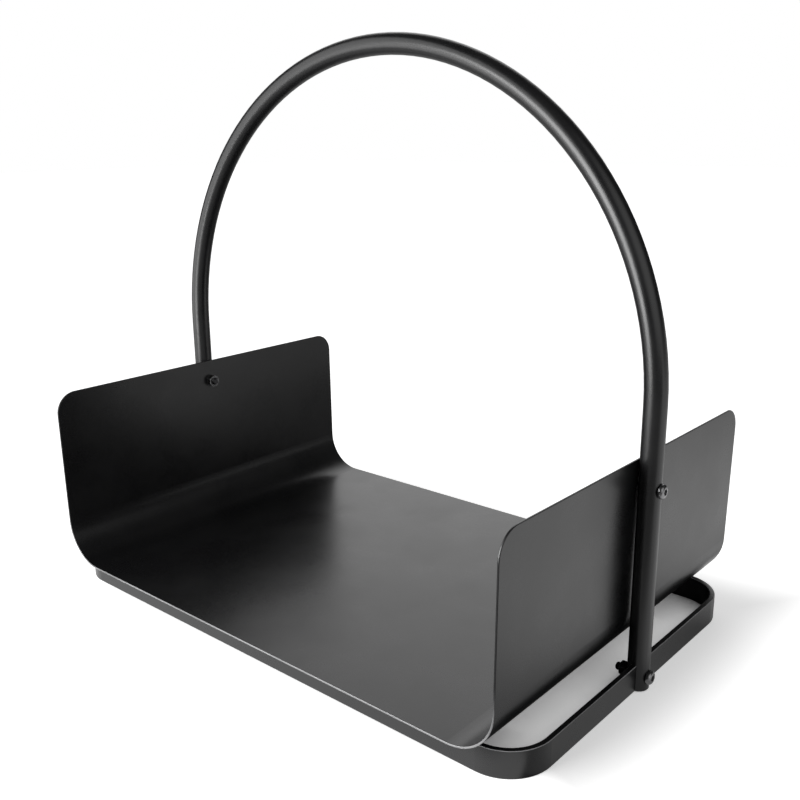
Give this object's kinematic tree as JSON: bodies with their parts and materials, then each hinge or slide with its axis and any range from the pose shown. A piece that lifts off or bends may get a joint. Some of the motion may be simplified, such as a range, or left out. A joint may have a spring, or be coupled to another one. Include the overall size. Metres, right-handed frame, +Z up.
{
  "type": "firewood log rack",
  "caption": "Free-standing firewood rack: a U-shaped sheet tray on a flat-bar base ring, with a tall tubular carrying hoop bolted across its middle.",
  "frame": {"origin": "on the floor under the middle of the rack, where the base ring's bottom edge stands", "axes": "+X along the rack's length, across the plane of the two walls; +Y from front to rear; +Z up"},
  "size_m": [0.4986, 0.328, 0.454],
  "materials": {
    "ring_coat": "satin black powder coat",
    "tray_coat": "satin black powder coat",
    "hoop_coat": "satin black powder coat",
    "black_hardware": "black zinc, satin"
  },
  "bodies": {
    "root": {"base_ring": "ring_coat", "log_tray": "tray_coat", "handle_hoop": "hoop_coat", "upper_screw_left": "black_hardware", "upper_screw_right": "black_hardware", "upper_nut_left": "black_hardware", "upper_nut_right": "black_hardware", "lower_screw_left": "black_hardware", "lower_screw_right": "black_hardware", "lower_nut_left": "black_hardware", "lower_nut_right": "black_hardware"}
  },
  "joints": []
}
